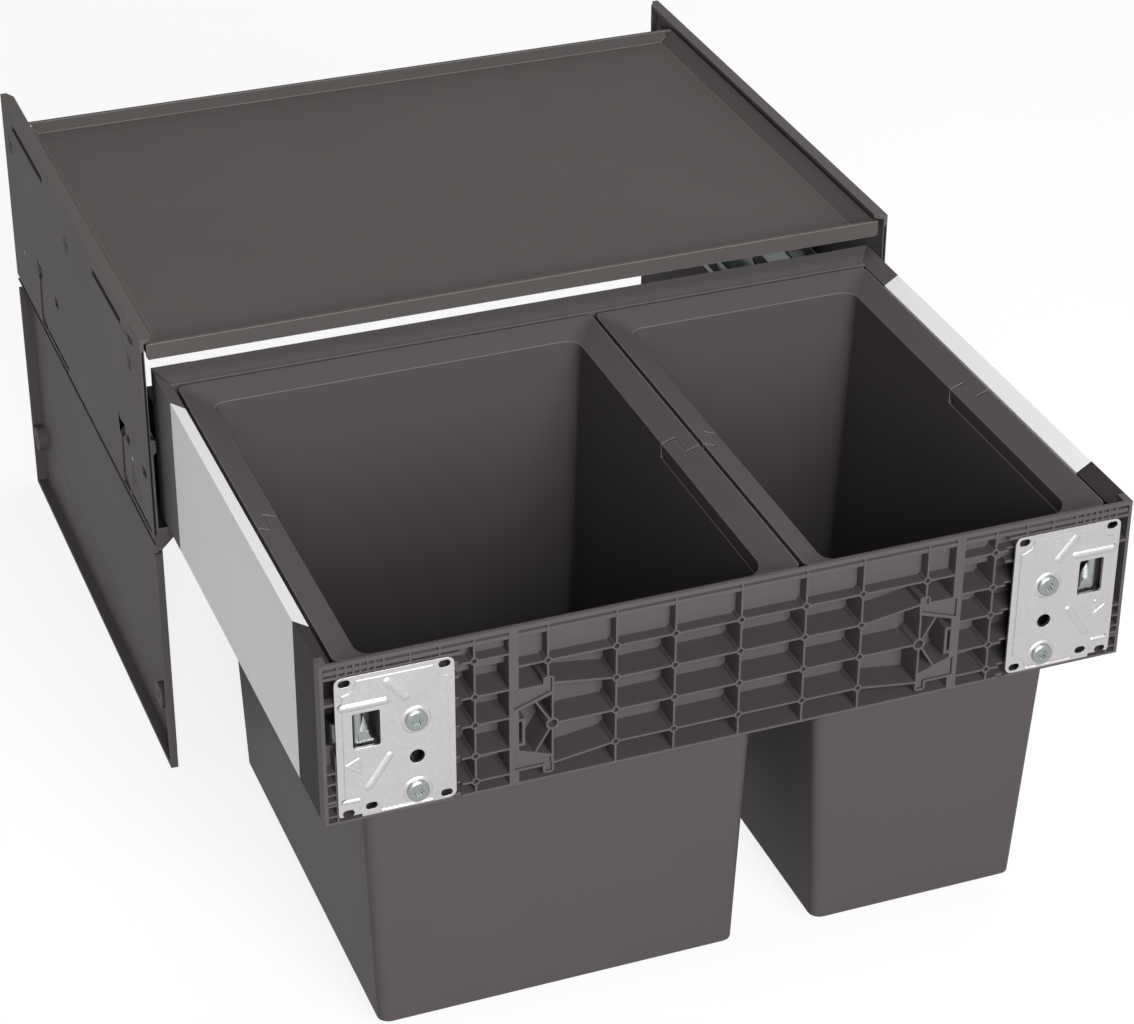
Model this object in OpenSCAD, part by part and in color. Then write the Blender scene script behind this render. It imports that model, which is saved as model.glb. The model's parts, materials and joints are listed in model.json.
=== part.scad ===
// Pull-out waste bin frame for a base cabinet, drawn with the drawer fully open.
// X runs across the cabinet opening, Y runs into the cabinet and Z is up.
// Y = 0 is the front edge of the side plates and Z = 0 is the cabinet floor.
// Left-hand pieces are drawn from the cabinet wall inward and mirrored for the right.

/* [Side plates] */
// overall width over both side plates
frame_w = 564; // [560:0.5:572]
// depth of a side plate
plate_d = 446; // [436:1:470]
// height of a side plate
plate_h = 356.8; // [352:0.1:380]
// thickness of a side plate
plate_t = 2.8; // [2:0.1:3.2]
// step of the lower half away from the cabinet wall
recess = 8; // [5:0.5:8]
// height of the top of that step
recess_z = 193; // [188:1:193]
// width of the top flange
flange_w = 12; // [9:0.5:14]
// height of the shelf that carries the runner
shelf_z = 205.4; // [204:0.1:205.4]
// width of that shelf from the cabinet wall
shelf_w = 39; // [38.6:0.1:42]
// radius of the screw holes to the cabinet wall
wall_hole_r = 2.5; // [2:0.1:3]
// distance of the first screw row from the front edge
row_y = 38; // [36:1:40]
// distance between the two outer screws of a row
row_pitch = 384; // [352:32:384]
// drop of the upper screw row below the top of the plate
row_drop = 33.8; // [30:0.1:40]
// height of the two lower screw bosses
boss_z = 49.5; // [45:0.5:60]

/* [Runners] */
// thickness of the runner sheet
rail_t = 1.2; // [1:0.1:1.4]
// length of the cabinet rail
cab_rail_l = 440; // [420:1:440]
// length of the middle rail
mid_rail_l = 404; // [390:1:404]
// height of the middle rail
mid_rail_h = 59; // [56:0.5:59]
// width of the middle rail
mid_rail_w = 13.5; // [12:0.5:14]
// travel of the drawer
travel = 384; // [360:2:384]
// radius of the lower rollers
low_roller_r = 2.4; // [2:0.1:2.4]
// radius of the upper rollers
top_roller_r = 2.6; // [2:0.1:2.6]
// number of rollers in a cage
rollers = 9; // [5:1:10]

/* [Drawer] */
// distance of the drawer sides from the cabinet wall
drawer_u = 9.3; // [9:0.1:10]
// front face of the drawer when open
drawer_y0 = -382.3; // [-386:0.1:-380]
// back face of the drawer when open
drawer_y1 = 12.8; // [12:0.1:14]
// top edge of the drawer
drawer_z1 = 327.9; // [326:0.1:328.5]
// bottom edge of the drawer sides
drawer_z0 = 210.6; // [210:0.1:212]
// thickness of the plastic skins
skin = 1.2; // [1:0.1:1.2]
// length of the dark front cap with the panel
front_cap_l = 54.4; // [48:0.1:60]
// length of the dark back cap
back_cap_l = 52.5; // [48:0.5:60]
// depth of the shallow cells of the front panel
cell_d = 9.3; // [8:0.1:9.3]
// depth of the deep cells of the front panel
deep_d = 22; // [18:0.5:22]
// thickness of the main ribs
rib_t = 1.3; // [1.2:0.1:2]
// thickness of the upper edge of the front panel
brow_t = 2.5; // [2:0.1:3]
// depth of the pockets in the two hooks
hook_pocket = 2.2; // [1:0.1:3]

/* [Front brackets] */
// width of a bracket
bracket_w = 75.6; // [72:0.2:78]
// height of a bracket
bracket_h = 103.5; // [100:0.5:106]
// sheet thickness of a bracket
bracket_t = 1.8; // [1.5:0.1:2]
// distance of a bracket's centre from the cabinet wall
bracket_u = 55.3; // [55:0.1:56]
// height of a bracket's centre
bracket_z = 266.5; // [266:0.5:267]
// distance between the front screws across
slot_dx = 63; // [62:0.5:64]
// distance between the front screws in height
slot_dz = 95; // [92:0.5:96]
// half width of the adjusting slots
slot_r = 2.5; // [2.2:0.1:2.6]
// length of the adjusting slots
slot_l = 7.6; // [6:0.1:8]

/* [Bins] */
// height of the outer edge of a bin rim
rim_z = 322; // [321:0.5:322.5]
// fall of the rim toward the inside of the bin
rim_fall = 7; // [4:0.5:8]
// further fall of the rim at the front
front_dip = 3; // [0:0.5:3]
// place of the gap between the two bins
bin_split = 46; // [-20:0.5:60]
// height of the bin bottoms over the cabinet floor
bin_z = 18; // [12:1:40]
// wall thickness of a bin
bin_t = 2; // [1.6:0.1:2.2]
// vertical thickness of a handle
handle_t = 10; // [8:0.5:10]
// radius of a handle pivot
pivot_r = 2.5; // [2:0.1:2.6]

/* [Lid] */
// front edge of the lid
lid_y0 = 4; // [3:0.5:6]
// back edge of the lid
lid_y1 = 398; // [380:1:400]
// drop of the lid rim below the top of the plates
lid_drop = 6; // [5.3:0.1:7]
// height of the lid over all
lid_h = 11.8; // [11:0.1:14]

/* [Fits] */
// running gap around a pivot or a lever bore, on the radius
run_gap = 0.05; // [0.02:0.01:0.1]
// gap between a resting piece and its ledge
rest_gap = 0.3; // [0.2:0.05:0.5]

/* [Hidden] */
$fn = 48;
half_w = frame_w / 2;
drawer_w = frame_w - 2 * drawer_u;
row_z = plate_h - row_drop;
lid_z1 = plate_h - lid_drop;
lid_z0 = lid_z1 - lid_h;
bracket_x = half_w - bracket_u;
plate_in = recess + plate_t;
front_y1 = drawer_y0 + cell_d + 1.5;
deep_y1 = drawer_y0 + deep_d + 2;
deep_x = half_w - 38.8;
cap_y = drawer_y0 + front_cap_l;
back_y = drawer_y1 - back_cap_l;
// drawer side section, measured from the cabinet wall
bevel_w = 10.5;
bevel_fall = 6.7;
lip_z = rim_z - 12.5 - rest_gap;
lip_w = 4.7;
waist_z = 298;
inner_u = 36.8;
leg_z = 222;
// runner stack
leg_top = shelf_z + rail_t;
mid_z0 = leg_top + 2 * low_roller_r + 2 * rest_gap;
mid_z1 = mid_z0 + mid_rail_h;
top_z0 = mid_z1 + 2 * top_roller_r + 2 * rest_gap;
top_z1 = top_z0 + rail_t;
mid_u = 20.5;
mid_y = -176;
top_u = 17.8;
top_w = 18.7;
roller_l = 8;
// bins: outer rim rectangle, then inner rim rectangle, then bottom rectangle
bin_y0 = drawer_y0 + 11.3;
bin_y1 = drawer_y1 - 21.8;
bin_l_out = [22 - half_w, bin_split - 1.5, bin_y0, bin_y1];
bin_l_in = [40.5 - half_w, bin_split - 20, bin_y0 + 15.5, bin_y1 - 19.5];
bin_l_low = [49.7 - half_w, bin_split - 27.6, bin_y0 + 22, bin_y1 - 22];
bin_r_out = [bin_split + 1.5, half_w - 22, bin_y0, bin_y1];
bin_r_in = [bin_split + 20, half_w - 40.5, bin_y0 + 15.5, bin_y1 - 19.5];
bin_r_low = [bin_split + 31, half_w - 53.4, bin_y0 + 22, bin_y1 - 22];
arm_y = -193.5;
arm_z = rim_z - 8;
tail_r = 5.8;
seam_y = arm_y - 14.1;
arm_cut_r = sqrt(pow(14.1, 2) + pow(8, 2)) + 0.4;
seat_drop = handle_t + rest_gap;
corner_n = 6;
// front face of the raised field of a bracket, from its back
field_y = -bracket_t - 0.6;
// lever
lever_x = half_w - 32.5;
lever_y = -376;
lever_z = [264.4, 292.6];
ear_t = 2;
pin_r = 1.5;
// screws
screw_x = half_w - 67.9;
bracket_screws_at = [[screw_x, 278.5], [screw_x, 226.2]];
// front panel: post between hook and outer columns, outer column, edge of the ribs beside the bracket
post_x = [147.4, 153.6];
col_x = post_x[1] + 0.625 * (bracket_x - bracket_w / 2 - post_x[1]);
step_x = bracket_x - bracket_w / 2 - 4.4;
col_z = [309.6, 283.5, 262.6, 239.7, 220.7];
rail_screws_at = [[52, 236], [404, 236]];

// colours as the photo shows them
plastic_col = [0.33, 0.31, 0.31];
lid_col = [0.32, 0.31, 0.30];
rib_col = [0.28, 0.26, 0.26];
cover_col = [0.75, 0.75, 0.74];
zinc_col = [0.80, 0.80, 0.79];
runner_col = [0.45, 0.50, 0.48];
screw_col = [0.59, 0.59, 0.58];

// Helpers
// a box between two corners
module box(a, b) {
    translate(a) cube(b - a);
}

// a flat shape drawn in Y and Z, made solid along X
module along_x(x0, x1) {
    translate([x0, 0, 0]) rotate([90, 0, 90]) linear_extrude(x1 - x0) children();
}

// a flat shape drawn in X and Z, made solid along Y
module along_y(y0, y1) {
    translate([0, y1, 0]) rotate([90, 0, 0]) linear_extrude(y1 - y0) children();
}

// a flat shape drawn in X and Y, made solid along Z
module along_z(z0, z1) {
    translate([0, 0, z0]) linear_extrude(z1 - z0) children();
}

// a rod along X, Y or Z
module rod_x(x0, x1, y, z, r) {
    translate([x0, y, z]) rotate([0, 90, 0]) cylinder(h = x1 - x0, r = r);
}

module rod_y(y0, y1, x, z, r) {
    translate([x, y1, z]) rotate([90, 0, 0]) cylinder(h = y1 - y0, r = r);
}

module rod_z(z0, z1, x, y, r) {
    translate([x, y, z0]) cylinder(h = z1 - z0, r = r);
}

// places a piece drawn from the cabinet wall on the left or the right side
module on_left() {
    translate([-half_w, 0, 0]) children();
}

module on_right() {
    mirror([1, 0, 0]) on_left() children();
}

// a straight flat bar between two points
module bar2(p, q, w) {
    translate(p) rotate(atan2(q[1] - p[1], q[0] - p[0])) translate([0, -w / 2])
        square([norm(q - p), w]);
}

// a flat slot along the first axis, with round ends
module slot2(l, r) {
    square([l - 2 * r, 2 * r], center = true);
    for (s = [-1, 1]) translate([s * (l / 2 - r), 0]) circle(r = r);
}

// a flat rectangle with round corners
module round_rect2(w, h, r) {
    square([w - 2 * r, h], center = true);
    square([w, h - 2 * r], center = true);
    for (sx = [-1, 1], sy = [-1, 1]) translate([sx * (w / 2 - r), sy * (h / 2 - r)]) circle(r = r);
}

// points of a rounded rectangle at one height, lower by dip along its front
function ring(b, r, z, dip = 0) = [
    for (c = [[b[1] - r, b[3] - r, 0], [b[0] + r, b[3] - r, 90],
              [b[0] + r, b[2] + r, 180], [b[1] - r, b[2] + r, 270]])
    for (k = [0 : corner_n])
    let (a = c[2] + 90 * k / corner_n, y = c[1] + r * sin(a))
    [c[0] + r * cos(a), y, z - dip * max(0, 1 - (y - b[2]) / r)]];

function flat(v) = [for (row = v) for (p = row) p];

// a closed skin through a list of rings; looped joins the last ring to the first
module loft(rings, looped = false) {
    n = len(rings[0]);
    m = len(rings);
    bands = [for (i = [0 : m - (looped ? 1 : 2)]) for (k = [0 : n - 1])
        let (a = i * n + k, b = i * n + (k + 1) % n, c = ((i + 1) % m) * n + k,
             d = ((i + 1) % m) * n + (k + 1) % n)
        each [[a, c, b], [b, c, d]]];
    caps = looped ? [] : [[for (k = [0 : n - 1]) k], [for (k = [0 : n - 1]) m * n - 1 - k]];
    polyhedron(points = flat(rings), faces = concat(bands, caps), convexity = 6);
}

// Side plates
// outline of the lower half seen from above: front ramp, wall and back flange
module plate_plan2() {
    polygon([[0, 0], [5.4, 0], [5.4, 3], [plate_in, 24], [plate_in, plate_d], [0, plate_d],
        [0, plate_d - 3], [recess, plate_d - 3], [recess, 24.5], [2.9, 3], [0, 3]]);
}

module plate_foot2() {
    polygon([[0, 0], [5.4, 0], [5.4, 3], [plate_in, 24], [plate_in, plate_d], [0, plate_d]]);
}

module plate_top2() {
    polygon([[0, 0], [9, 1], [flange_w, 4], [flange_w, plate_d - 9], [4, plate_d], [0, plate_d]]);
}

// the step between the two halves of the wall
module plate_step2() {
    k = plate_t * (sqrt(2) - 1);
    polygon([[0, recess_z], [recess, recess_z - recess], [plate_in, recess_z - recess],
        [plate_in, recess_z - recess + k], [plate_t, recess_z + k], [0, recess_z + k]]);
}

module plate_solid() {
    low = recess_z - recess;
    difference() {
        union() {
            box([0, 0, recess_z], [plate_t, plate_d, plate_h]);
            box([0, plate_d - 3, recess_z], [plate_t + 3, plate_d, plate_h]);
            along_z(plate_h - plate_t, plate_h) plate_top2();
            along_z(0, 3) plate_foot2();
            along_z(0, low + 0.1) plate_plan2();
            difference() {
                union() {
                    along_y(0, plate_d) plate_step2();
                    for (y = [25, 431]) rod_x(0, plate_in, y, boss_z, 10);
                }
                along_z(-1, plate_h) polygon([[5.4, -1], [5.4, 3], [plate_in, 24], [30, 24], [30, -1]]);
            }
            box([plate_t, 0, shelf_z - 3], [shelf_w, cab_rail_l, shelf_z]);
            shelf_gussets();
            lid_ledges();
            box([0.8, 434, leg_top + 72.4], [plate_t + 1.2, 437, lid_z0 - 1]);
        }
        wall_holes();
        plate_windows();
    }
}

module shelf_gussets() {
    for (y = [0, 109, 218, 327, 437]) along_y(y, y + 3)
        polygon([[plate_t, 188.5], [5, 188.5], [20, shelf_z - 2], [plate_t, shelf_z - 2]]);
    for (y = [109, 218, 327, 434]) along_y(y, y + 3)
        polygon([[recess + 1, 187], [plate_in, 187], [shelf_w - 8, shelf_z - 2], [recess + 1, shelf_z - 2]]);
}

module lid_ledges() {
    for (y = [[64, 148], [312, 426]])
        box([plate_t, y[0], lid_z0 + 0.7], [plate_t + 4.4, y[1], lid_z0 + 3.2]);
}

module wall_holes() {
    for (y = [row_y, row_y + row_pitch / 2, row_y + row_pitch]) {
        rod_x(-1, plate_t + 1, y, row_z, wall_hole_r);
        rod_x(-1, 0.6, y, row_z, 7);
    }
    for (y = [25, 431]) rod_x(-1, plate_in + 1, y, boss_z, wall_hole_r);
}

module plate_windows() {
    for (y = [[64, 148], [312, 426]])
        box([-1, y[0] + 1, lid_z0 + 1.9], [plate_t, y[1] - 1, lid_z0 + 4.9]);
    box([-1, 25, lid_z0 + 1.9], [plate_t + 1, 37, lid_z0 + 4.9]);
    for (y = [90, 356]) {
        along_x(-1, plate_t + 1)
            polygon([[y + 5, 259], [y - 5, 250], [y - 5, 240], [y + 5, 233]]);
        box([-1, y + 3.6, 199], [0.8, y + 5, 236]);
    }
    for (p = [[294, 246], [69, 246], [22, 244]])
        box([-1, p[0] - 3, p[1] - 3], [plate_t + 1, p[0] + 3, p[1] + 3]);
    for (y = [[6, 92], [268, 354]]) box([-1, y[0], 196.5], [plate_t + 1, y[1], 198.5]);
    for (p = rail_screws_at) rod_x(-1, plate_t + 1, p[0], p[1], 2 + run_gap);
}

module side_plate_left() {
    color(plastic_col) on_left() plate_solid();
}

module side_plate_right() {
    color(plastic_col) on_right() plate_solid();
}

// a stop that clips through the short slot and keeps the lid from sliding out by itself
module catch_solid() {
    box([plate_t, 25, lid_z0 + 1], [plate_t + 2.2, 37, lid_z0 + 9]);
    box([0.4, 25.3, lid_z0 + 2.2], [plate_t + 0.1, 36.7, lid_z0 + 4.6]);
}

module lid_catch_left() {
    color(rib_col) on_left() catch_solid();
}

module lid_catch_right() {
    color(rib_col) on_right() catch_solid();
}

// Runners
module cabinet_rail_solid() {
    top = leg_top + 71.4;
    difference() {
        along_y(0, cab_rail_l) polygon([[plate_t, shelf_z], [38.5, shelf_z],
            [38.5, leg_top + 4], [38.5 - rail_t, leg_top + 4], [38.5 - rail_t, leg_top],
            [plate_t + rail_t, leg_top], [plate_t + rail_t, top - 12], [plate_t + 3.5, top - 10],
            [plate_t + 3.5, top - 1], [plate_t + 2.5, top], [plate_t, top]]);
        for (p = rail_screws_at) rod_x(0, 9, p[0], p[1], 2 + run_gap);
        for (y = [150, 290]) along_x(0, 9) translate([y, 235]) slot2(60, 9);
    }
    for (y = [90, 356]) box([0.8, y - 4, 241], [plate_t + 0.2, y + 3, 249]);
}

module cabinet_rail_left() {
    color(runner_col) on_left() cabinet_rail_solid();
}

module cabinet_rail_right() {
    color(runner_col) on_right() cabinet_rail_solid();
}

module rail_screw(p) {
    u = plate_t + rail_t;
    difference() {
        union() {
            rod_x(u, u + 1.8, p[0], p[1], 4);
            rod_x(0.2, u + 0.1, p[0], p[1], 2);
        }
        rod_x(u + 0.8, u + 2, p[0], p[1], 1.2);
    }
}

module rail_screws() {
    color(screw_col) {
        on_left() for (p = rail_screws_at) rail_screw(p);
        on_right() for (p = rail_screws_at) rail_screw(p);
    }
}

module middle_rail_solid() {
    difference() {
        box([mid_u, mid_y, mid_z0], [mid_u + mid_rail_w, mid_y + mid_rail_l, mid_z1]);
        box([mid_u + 1.5, mid_y - 1, mid_z0 + 1.5],
            [mid_u + mid_rail_w - 1.5, mid_y + mid_rail_l + 1, mid_z1 - 1.5]);
        for (y = [mid_y + 60, mid_y + mid_rail_l - 60])
            along_x(mid_u - 1, mid_u + mid_rail_w + 1) translate([y, (mid_z0 + mid_z1) / 2]) slot2(40, 7);
    }
}

module middle_rail_left() {
    color(runner_col) on_left() middle_rail_solid();
}

module middle_rail_right() {
    color(runner_col) on_right() middle_rail_solid();
}

module drawer_rail_solid() {
    y0 = front_y1 + 0.8;
    y1 = drawer_y1 - 2.8;
    difference() {
        box([top_u, y0, 240], [top_u + top_w, y1, top_z1]);
        box([top_u + rail_t, y0 - 1, 239], [top_u + top_w - rail_t, y1 + 1, top_z0]);
        for (y = [y0 + 25, y1 - 25]) rod_z(top_z0 - 1, top_z1 + 1, top_u + top_w / 2, y, 2.2);
    }
}

module drawer_rail_left() {
    color(runner_col) on_left() drawer_rail_solid();
}

module drawer_rail_right() {
    color(runner_col) on_right() drawer_rail_solid();
}

// a strip with windows and one free roller in each window
module cage_solid(y0, l, z, r) {
    u = mid_u + mid_rail_w / 2;
    pitch = l / rollers;
    w = 2 * r + 0.8;
    difference() {
        box([u - 6, y0, z - 1.1], [u + 6, y0 + l, z + 1.1]);
        for (i = [0 : rollers - 1])
            box([u - roller_l / 2 - 0.4, y0 + pitch * (i + 0.5) - w / 2, z - 2],
                [u + roller_l / 2 + 0.4, y0 + pitch * (i + 0.5) + w / 2, z + 2]);
    }
    for (i = [0 : rollers - 1])
        rod_x(u - roller_l / 2, u + roller_l / 2, y0 + pitch * (i + 0.5), z, r);
}

module lower_cage_left() {
    color(cover_col) on_left() cage_solid(8, 208, (leg_top + mid_z0) / 2, low_roller_r);
}

module lower_cage_right() {
    color(cover_col) on_right() cage_solid(8, 208, (leg_top + mid_z0) / 2, low_roller_r);
}

module upper_cage_left() {
    color(cover_col) on_left() cage_solid(-172, 172, (mid_z1 + top_z0) / 2, top_roller_r);
}

module upper_cage_right() {
    color(cover_col) on_right() cage_solid(-172, 172, (mid_z1 + top_z0) / 2, top_roller_r);
}

// damper cassette that stands on the drawer rail inside the drawer side
module soft_close_solid() {
    box([12.4, -176, top_z1], [22.4, -60, top_z1 + 18]);
    rod_y(-60.2, -52, 17.4, top_z1 + 9, 4);
    box([14, -190, top_z1 + 5], [20, -175.8, top_z1 + 13]);
}

module soft_close_left() {
    color(cover_col) on_left() soft_close_solid();
}

module soft_close_right() {
    color(cover_col) on_right() soft_close_solid();
}

// Drawer
// outside of the drawer side in section, then its hollow
module side_out2() {
    polygon([[drawer_u, drawer_z0], [drawer_u, drawer_z1], [drawer_u + bevel_w, drawer_z1 - bevel_fall],
        [drawer_u + bevel_w, lip_z], [drawer_u + bevel_w + lip_w, lip_z],
        [drawer_u + bevel_w + lip_w, waist_z], [inner_u + skin, waist_z - 8.5],
        [inner_u + skin, leg_z], [inner_u, leg_z], [inner_u, drawer_z0]]);
}

module side_in2() {
    a = drawer_u + skin;
    b = drawer_u + bevel_w - skin;
    c = drawer_u + bevel_w + lip_w - skin;
    polygon([[a, 190], [a, drawer_z1 - 2.1], [b, drawer_z1 - bevel_fall - 0.6], [b, lip_z - skin],
        [c, lip_z - skin], [c, waist_z - 0.7], [inner_u, waist_z - 9.3], [inner_u, 190]]);
}

// the same for the back of the drawer, drawn in Y and Z
module back_out2() {
    polygon([[drawer_y1, 212], [drawer_y1, drawer_z1], [drawer_y1 - 12.5, drawer_z1 - 5.9],
        [-5, drawer_z1 - 5.9], [-5, lip_z], [-11.5, lip_z], [-11.5, 285], [-10.3, 285], [-10.3, 212]]);
}

module back_in2() {
    polygon([[drawer_y1 - skin, 190], [drawer_y1 - skin, drawer_z1 - 1.9],
        [drawer_y1 - 12.3, drawer_z1 - 7.1], [-3.8, drawer_z1 - 7.1], [-3.8, lip_z - skin],
        [-10.3, lip_z - skin], [-10.3, 190]]);
}

// the whole hollow frame at the back left corner, drawn from the cabinet wall
module back_ring_solid() {
    difference() {
        union() {
            along_y(back_y, drawer_y1) side_out2();
            along_x(drawer_u, half_w) back_out2();
        }
        along_y(back_y - 1, drawer_y1 - skin) side_in2();
        along_x(drawer_u + skin, half_w + 1) back_in2();
        box([15.5, -12, 190], [inner_u + skin + 0.5, drawer_y1 + 1, top_z1 + 1.5]);
    }
}

// webs that stand on the drawer rail and carry the drawer side
module side_webs(ys) {
    a = drawer_u + skin;
    c = drawer_u + bevel_w + lip_w - skin;
    for (y = ys) along_y(y, y + 3)
        polygon([[a - 0.2, top_z1], [inner_u + 0.2, top_z1], [inner_u + 0.2, waist_z - 9.4],
            [c, waist_z - 0.7], [c, waist_z + 2], [a - 0.2, waist_z + 2]]);
}

module drawer_side_solid() {
    difference() {
        along_y(cap_y, back_y) side_out2();
        along_y(cap_y - 1, back_y + 1) side_in2();
    }
    side_webs([cap_y + 8, -260, -205, back_y - 8]);
}

module drawer_side_left() {
    color(cover_col) on_left() drawer_side_solid();
}

module drawer_side_right() {
    color(cover_col) on_right() drawer_side_solid();
}

module front_cap_solid() {
    difference() {
        along_y(front_y1, cap_y) side_out2();
        along_y(front_y1 + skin, cap_y + 1) side_in2();
        box([15.5, front_y1 - 1, 190], [inner_u - 0.2, front_y1 + skin + 0.1, top_z1 + 1.5]);
        box([drawer_u + 2.2, front_y1 - 1, 264], [22, front_y1 + skin + 0.1, 314]);
    }
    side_webs([front_y1 + 12]);
    box([drawer_u + skin + 0.8, cap_y - 10, 311], [drawer_u + bevel_w - skin - 0.8, cap_y + 12, 318]);
    box([drawer_u + skin + 2, cap_y - 10, 313], [drawer_u + bevel_w, cap_y - 7, 316]);
}

module front_cap_left() {
    color(plastic_col) on_left() front_cap_solid();
}

module front_cap_right() {
    color(plastic_col) on_right() front_cap_solid();
}

module back_cap_solid() {
    intersection() {
        back_ring_solid();
        box([0, back_y, 190], [inner_u + skin, drawer_y1, drawer_z1 + 1]);
    }
    side_webs([-30]);
}

module back_cap_left() {
    color(plastic_col) on_left() back_cap_solid();
}

module back_cap_right() {
    color(plastic_col) on_right() back_cap_solid();
}

module back_bar() {
    x = half_w - inner_u - skin;
    color(plastic_col) difference() {
        along_x(-x, x) back_out2();
        for (i = [0 : 3]) {
            a = -x + i * x / 2 + 1;
            along_x(a, a + x / 2 - 2) back_in2();
        }
    }
}

// Ribbed front panel, drawn in X and Z
// ribs of the wide middle field
module middle_ribs2() {
    for (x = [-83.3, -44.1, 0, 44.1, 83.3]) bar2([x, 212], [x, 326], rib_t);
    for (z = [228, 251.9, 276]) bar2([-84, z], [84, z], rib_t);
    bar2([-148, 299.2], [148, 299.2], rib_t);
    for (x = [-83.3, -44.1, 0, 44.1, 83.3], z = [228, 251.9, 276, 299.2]) translate([x, z]) circle(r = 2.7);
    for (s = [-1, 1]) mirror([s > 0 ? 0 : 1, 0]) {
        translate([128.2, 299.2]) circle(r = 2.7);
        bar2([128.2, 287], [128.2, 299.2], rib_t);
        bar2([128.2, 299.2], [128.2, 326], rib_t);
        translate([125.2, 251.9]) circle(r = 4.3);
        bar2([125.2, 222], [125.2, 282], rib_t);
        bar2([83.3, 251.9], [125.2, 251.9], rib_t);
        bar2([125.2, 251.9], [136.6, 271.3], rib_t);
        bar2([125.2, 251.9], [136.4, 233.4], rib_t);
        bar2([124.5, 282], [83.4, 276], rib_t);
        bar2([124.6, 222.3], [83.1, 228], rib_t);
    }
}

// the two hooks beside each post, then the seat between them
module hook_high2() {
    polygon([[149, 282.6], [131.4, 282.4], [131.4, 286.6], [130, 287.4], [125.4, 287.4], [124.2, 286.2],
        [124.2, 274.3], [150.6, 265.6]]);
}

module hook_low2() {
    polygon([[149, 237.6], [125.2, 228.8], [124.2, 217], [125.4, 215.6], [130.2, 215.6], [131.6, 217],
        [131.6, 221.4], [150, 221.4]]);
}

module seat2() {
    difference() {
        translate([143.4, 240.2]) square([6, 20]);
        translate([145.2, 242]) square([4.8, 16.4]);
    }
}

// floor outline of the pockets in the hooks
module hook_pockets2() {
    polygon([[150.4, 281.4], [130.1, 281.2], [130.1, 286.2], [125.6, 286.2], [125.6, 276.2], [150.4, 267.6]]);
    polygon([[150.4, 236.6], [126.4, 227.8], [125.6, 216.9], [130.2, 216.9], [130.2, 222.7], [150.4, 222.7]]);
}

// post, outer columns and rows up to the bracket
module outer_ribs2() {
    translate([post_x[0], 212]) square([post_x[1] - post_x[0], 113.5]);
    bar2([col_x, 212], [col_x, 326], rib_t);
    for (z = col_z) {
        bar2([post_x[1] - 1, z], [screw_x - 9.6, z], rib_t);
        translate([col_x, z]) circle(r = 2.7);
    }
}

// ribs and screw domes behind a bracket
module bracket_ribs2() {
    c = bracket_x;
    difference() {
        union() {
            bar2([c - 42, 299.2], [c + 44.3, 299.2], 1.8);
            bar2([screw_x - 9.6, 251], [c + 8.9, 251], 1.8);
            bar2([screw_x - 9.6, 212], [screw_x - 9.6, 318], 1.8);
            bar2([c + 8.9, 228], [c + 8.9, 318], 1.8);
            bar2([screw_x, 212], [screw_x, 318], 1.8);
            bar2([screw_x + 11.9, 212], [screw_x + 11.9, 251], 1.8);
        }
        translate([screw_x - 0.3, 251.3]) circle(r = 7);
    }
    bar2([c - 42, 318], [c + 44.3, 318], 1.8);
    bar2([c + 16.3, 228], [c + 44.3, 228], 1.8);
    for (p = bracket_screws_at) translate(p) circle(r = 5);
    for (x = [-29.2, 5.8, 11.5, 15.7, 20.4, 24.7, 29.6, 34.7, -10.6]) bar2([c + x, 318], [c + x, 326], 1.2);
    for (z = [217.5, 225.5, 233.5, 241.5, 249.5]) bar2([c + 37.8, z], [c + 44.3, z], 1.2);
    bar2([c + 37.8, 212], [c + 37.8, 262], 1.2);
}

module frame2() {
    difference() {
        translate([-drawer_w / 2, 211.5]) square([drawer_w, drawer_z1 - 211.5]);
        translate([-drawer_w / 2 + 2.2, 213]) square([drawer_w - 4.4, drawer_z1 - 215.5]);
    }
}

module panel_2d() {
    frame2();
    middle_ribs2();
    for (s = [-1, 1]) mirror([s > 0 ? 0 : 1, 0]) {
        hook_high2();
        hook_low2();
        seat2();
        outer_ribs2();
        bracket_ribs2();
    }
}

module deep_field2() {
    translate([-deep_x, 211.5]) square([2 * deep_x, 300 - 211.5]);
}

// rings and domes that are open at the front
module dimples() {
    for (x = [-83.3, -44.1, 0, 44.1, 83.3], z = [228, 251.9, 276, 299.2])
        rod_y(drawer_y0 - 1, drawer_y0 + 6, x, z, 1.6);
    for (s = [-1, 1]) {
        rod_y(drawer_y0 - 1, drawer_y0 + 6, s * 125.2, 251.9, 2.9);
        rod_y(drawer_y0 - 1, drawer_y0 + 6, s * 128.2, 299.2, 1.6);
        for (z = col_z) rod_y(drawer_y0 - 1, drawer_y0 + 6, s * col_x, z, 1.6);
        for (p = bracket_screws_at) rod_y(drawer_y0 - 1, drawer_y0 + 12, s * p[0], p[1], 2.4 + run_gap);
    }
}

// ears that hold the lever pin above and below the pocket
module lever_ears(s) {
    for (z = [lever_z[0] - 0.4 - ear_t, lever_z[1] + 0.4])
        translate([s * (lever_x - 3.6), 0, 0]) box([-9.4, drawer_y0, z], [9.4, front_y1, z + ear_t]);
}

// leaves only a thin upstand above the bin rims
module brow_cut() {
    box([14.5 - half_w, drawer_y0 + brow_t, rim_z], [half_w - 14.5, front_y1 + 3, drawer_z1 + 1]);
}

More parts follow.
